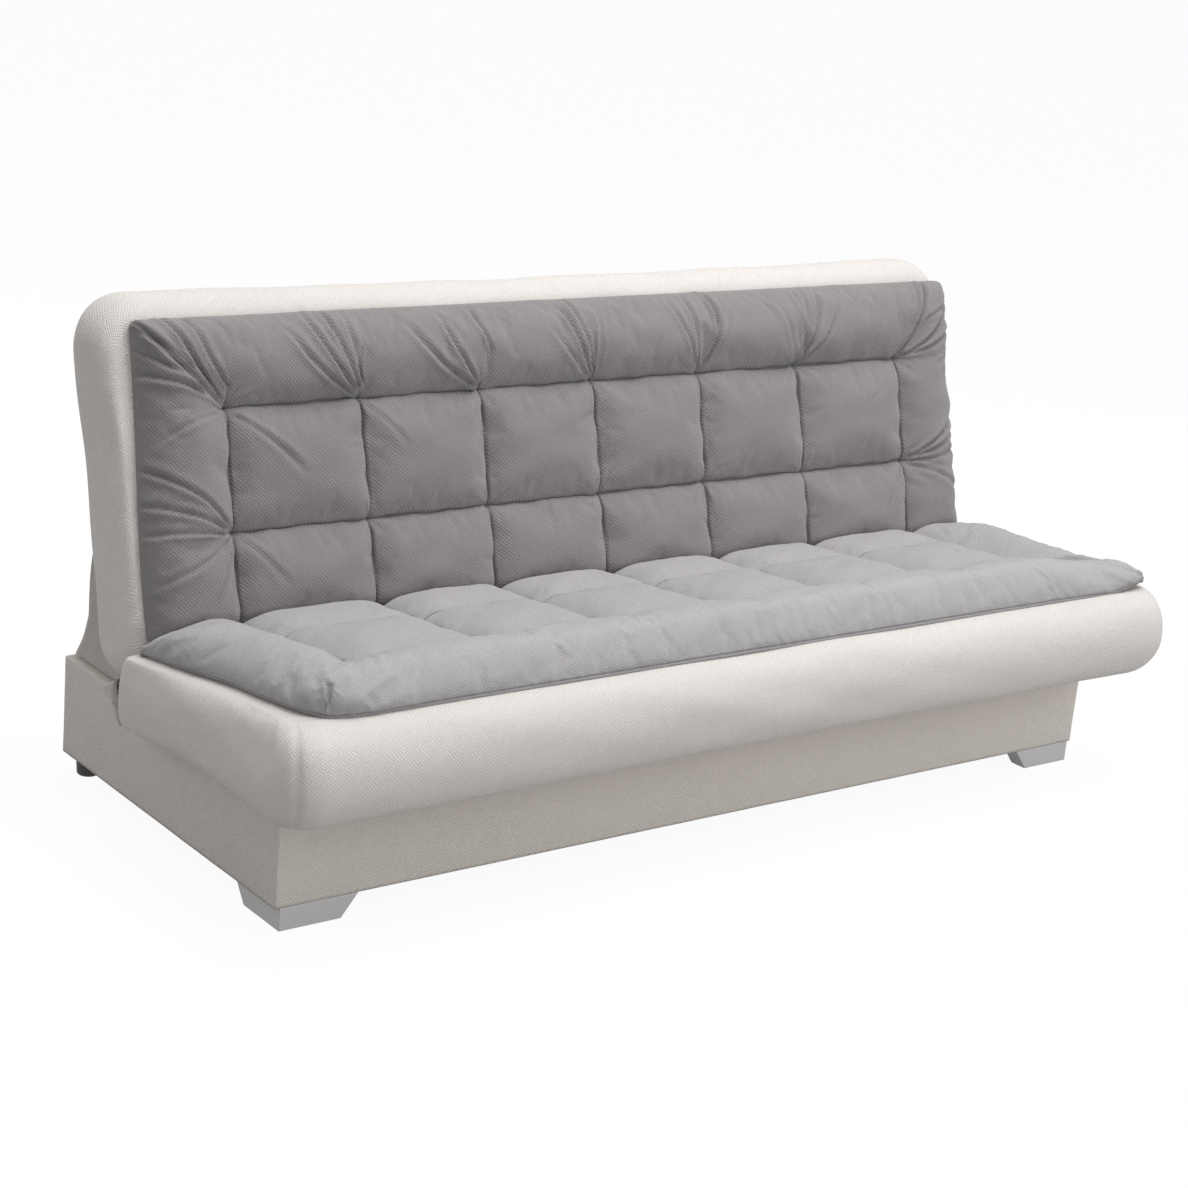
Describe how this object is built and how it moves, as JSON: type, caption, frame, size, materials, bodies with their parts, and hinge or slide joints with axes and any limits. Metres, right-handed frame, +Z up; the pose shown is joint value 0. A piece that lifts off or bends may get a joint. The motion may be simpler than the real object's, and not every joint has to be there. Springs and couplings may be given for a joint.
{
  "type": "click clack sofa bed",
  "caption": "Armless sofa bed: a tufted seat lifts off a storage box and the tufted back lies down flat behind it.",
  "frame": {"origin": "on the floor, at the middle of the footprint", "axes": "+X along the sofa, the front faces -Y, +Z up"},
  "size_m": [1.93, 0.883, 0.8676],
  "materials": {
    "grey_cloth": "fine twill weave, matte",
    "pale_grey_cloth": "fine twill weave, matte",
    "cream_cloth": "fine twill weave, matte",
    "box_cloth": "plain weave, matte",
    "skirt_cloth": "plain weave, matte",
    "black_cloth": "felted backing cloth",
    "chipboard": "raw chipboard",
    "hardboard": "smooth hardboard",
    "pine": "planed pine",
    "silver_plastic": "silver-grey satin plastic",
    "black_plastic": "black plastic",
    "zinc_steel": "zinc-plated stamped steel",
    "spring_steel": "dark drawn wire"
  },
  "bodies": {
    "base": {"back_pivot_rivet_left": "zinc_steel", "back_pivot_rivet_right": "zinc_steel", "base_plate_left": "zinc_steel", "base_plate_right": "zinc_steel", "box_corner_block_front_left": "pine", "box_corner_block_front_right": "pine", "box_corner_block_rear_left": "pine", "box_corner_block_rear_right": "pine", "box_cover": "box_cloth", "box_divider": "chipboard", "box_floor_panel": "hardboard", "box_front_board": "chipboard", "box_left_board": "chipboard", "box_rear_board": "chipboard", "box_right_board": "chipboard", "front_foot_left": "silver_plastic", "front_foot_right": "silver_plastic", "ratchet_housing_left": "zinc_steel", "ratchet_housing_right": "zinc_steel", "rear_leg_left": "black_plastic", "rear_leg_right": "black_plastic", "rear_skirt": "skirt_cloth", "seat_pivot_rivet_left": "zinc_steel", "seat_pivot_rivet_right": "zinc_steel"},
    "seat": {"seat_arm_left": "zinc_steel", "seat_arm_right": "zinc_steel", "seat_centre_rail": "pine", "seat_front_rail": "pine", "seat_left_rail": "pine", "seat_mattress": "cream_cloth", "seat_rear_rail": "pine", "seat_right_rail": "pine", "seat_spring_1": "spring_steel", "seat_spring_2": "spring_steel", "seat_spring_3": "spring_steel", "seat_spring_4": "spring_steel", "seat_spring_5": "spring_steel", "seat_spring_6": "spring_steel", "seat_topper": "pale_grey_cloth"},
    "back": {"back_arm_left": "zinc_steel", "back_arm_right": "zinc_steel", "back_centre_rail": "pine", "back_front_rail": "pine", "back_left_rail": "pine", "back_mattress": "cream_cloth", "back_rear_cloth": "black_cloth", "back_rear_rail": "pine", "back_right_rail": "pine", "back_topper": "grey_cloth"}
  },
  "joints": [
    {"name": "seat_lift", "type": "hinge", "parent": "base", "child": "seat", "pos_m": [0, 0.108, 0.32], "axis": [-1, 0, 0], "range_deg": [0, 30]},
    {"name": "back_recline", "type": "hinge", "parent": "base", "child": "back", "pos_m": [0, 0.167, 0.285], "axis": [-1, 0, 0], "range_deg": [0, 74.5], "deforming": ["rear_skirt"]}
  ]
}
